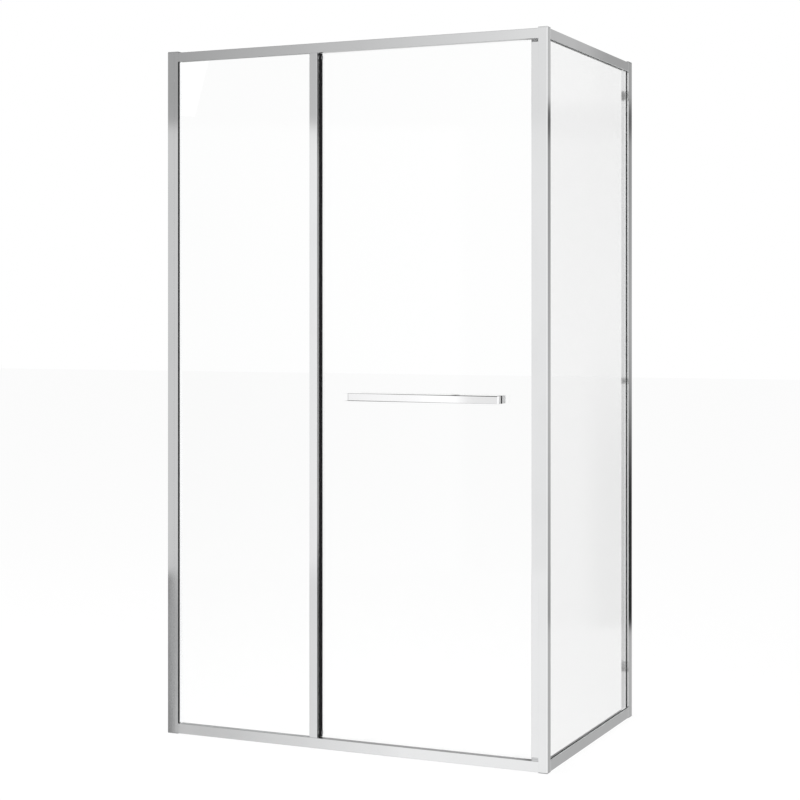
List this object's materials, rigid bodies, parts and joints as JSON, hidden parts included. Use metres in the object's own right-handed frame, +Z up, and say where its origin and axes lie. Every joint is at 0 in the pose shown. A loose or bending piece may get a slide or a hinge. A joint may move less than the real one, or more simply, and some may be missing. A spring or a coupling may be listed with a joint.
{
  "type": "framed sliding-door shower enclosure",
  "caption": "Framed corner shower enclosure with a clear fixed pane, a sliding door with a bar handle, and a clear side pane.",
  "frame": {"origin": "middle of the corner post foot, on the shower tray", "axes": "+Z up, -X along the front to the left wall, +Y along the side into the enclosure to the back wall"},
  "size_m": [1.179, 0.795, 2],
  "materials": {
    "chrome": "bright polished, mirror-like",
    "handle_chrome": "polished chrome",
    "glass": "clear toughened",
    "black_rubber": "satin black",
    "clear_vinyl": "clear soft vinyl",
    "grey_plastic": "satin grey",
    "white_nylon": "smooth white",
    "steel": "bright zinc"
  },
  "bodies": {
    "frame": {"left_wall_channel": "chrome", "side_wall_channel": "chrome", "left_wall_stile": "chrome", "side_wall_stile": "chrome", "corner_post": "chrome", "corner_post_cap": "chrome", "front_top_rail": "chrome", "front_bottom_rail": "chrome", "side_top_rail": "chrome", "side_bottom_rail": "chrome", "top_slot_cover": "chrome", "bottom_slot_cover": "chrome", "mid_post": "chrome", "fixed_glass": "glass", "side_glass": "glass", "mid_post_fin_seal": "black_rubber", "fixed_glass_gasket": "black_rubber", "side_glass_gasket": "black_rubber", "post_magnet_strip": "black_rubber", "track_stops": "black_rubber", "wall_post_caps": "grey_plastic", "wall_post_feet": "grey_plastic", "corner_post_foot": "grey_plastic", "corner_blocks": "grey_plastic", "track_end_plates": "grey_plastic", "sill_end_plates": "grey_plastic", "joint_screw_covers": "grey_plastic", "fin_seal_clips": "grey_plastic", "frame_screws": "steel", "left_joint_screws": "steel", "side_joint_screws": "steel"},
    "door": {"handle_neck_rings": "black_rubber", "door_glass": "glass", "door_lead_stile": "chrome", "door_stile_caps": "grey_plastic", "door_magnet_strip": "black_rubber", "door_tail_profile": "chrome", "door_drip_seal": "clear_vinyl", "carriage_plates": "steel", "carriage_bolts": "steel", "carriage_spacers": "white_nylon", "carriage_nuts": "steel", "wheel_axles": "steel", "handle": "handle_chrome", "handle_pads": "clear_vinyl", "handle_screws": "steel", "handle_inner_discs": "handle_chrome", "guide_clips": "grey_plastic", "guide_screws": "steel"},
    "roller_1": {"roller_wheel_1": "white_nylon"},
    "roller_2": {"roller_wheel_2": "white_nylon"},
    "roller_3": {"roller_wheel_3": "white_nylon"},
    "roller_4": {"roller_wheel_4": "white_nylon"},
    "left_guide_foot": {"guide_foot_left": "grey_plastic"},
    "right_guide_foot": {"guide_foot_right": "grey_plastic"},
    "left_guide_roller": {"guide_wheel_left": "white_nylon"},
    "right_guide_roller": {"guide_wheel_right": "white_nylon"}
  },
  "joints": [
    {"name": "door_slide", "type": "slide", "parent": "frame", "child": "door", "axis": [-1, 0, 0], "range_m": [0, 0.4]},
    {"name": "roller_1_spin", "type": "hinge", "parent": "door", "child": "roller_1", "pos_m": [-0.648, 0.0335, 1.9855], "axis": [0, 1, 0], "range_deg": [-4167, 0]},
    {"name": "roller_2_spin", "type": "hinge", "parent": "door", "child": "roller_2", "pos_m": [-0.608, 0.0335, 1.9855], "axis": [0, 1, 0], "range_deg": [-4167, 0]},
    {"name": "roller_3_spin", "type": "hinge", "parent": "door", "child": "roller_3", "pos_m": [-0.1099, 0.0335, 1.9855], "axis": [0, 1, 0], "range_deg": [-4167, 0]},
    {"name": "roller_4_spin", "type": "hinge", "parent": "door", "child": "roller_4", "pos_m": [-0.0699, 0.0335, 1.9855], "axis": [0, 1, 0], "range_deg": [-4167, 0]},
    {"name": "left_guide_release", "type": "slide", "parent": "door", "child": "left_guide_foot", "axis": [0, 0, 1], "range_m": [0, 0.007], "stiffness_N_per_m": 400, "springref_m": -0.005},
    {"name": "left_guide_spin", "type": "hinge", "parent": "left_guide_foot", "child": "left_guide_roller", "pos_m": [-0.63, 0.0355, 0.008], "axis": [0, 0, 1], "range_deg": [-4324.3, 0]},
    {"name": "right_guide_release", "type": "slide", "parent": "door", "child": "right_guide_foot", "axis": [0, 0, 1], "range_m": [0, 0.007], "stiffness_N_per_m": 400, "springref_m": -0.005},
    {"name": "right_guide_spin", "type": "hinge", "parent": "right_guide_foot", "child": "right_guide_roller", "pos_m": [-0.0879, 0.0355, 0.008], "axis": [0, 0, 1], "range_deg": [-4324.3, 0]}
  ],
  "couplings": [
    {"joint": "roller_1_spin", "follows": "door_slide", "rad_per_m": -181.82},
    {"joint": "roller_2_spin", "follows": "door_slide", "rad_per_m": -181.82},
    {"joint": "roller_3_spin", "follows": "door_slide", "rad_per_m": -181.82},
    {"joint": "roller_4_spin", "follows": "door_slide", "rad_per_m": -181.82},
    {"joint": "left_guide_spin", "follows": "door_slide", "rad_per_m": -188.68},
    {"joint": "right_guide_spin", "follows": "door_slide", "rad_per_m": -188.68}
  ]
}
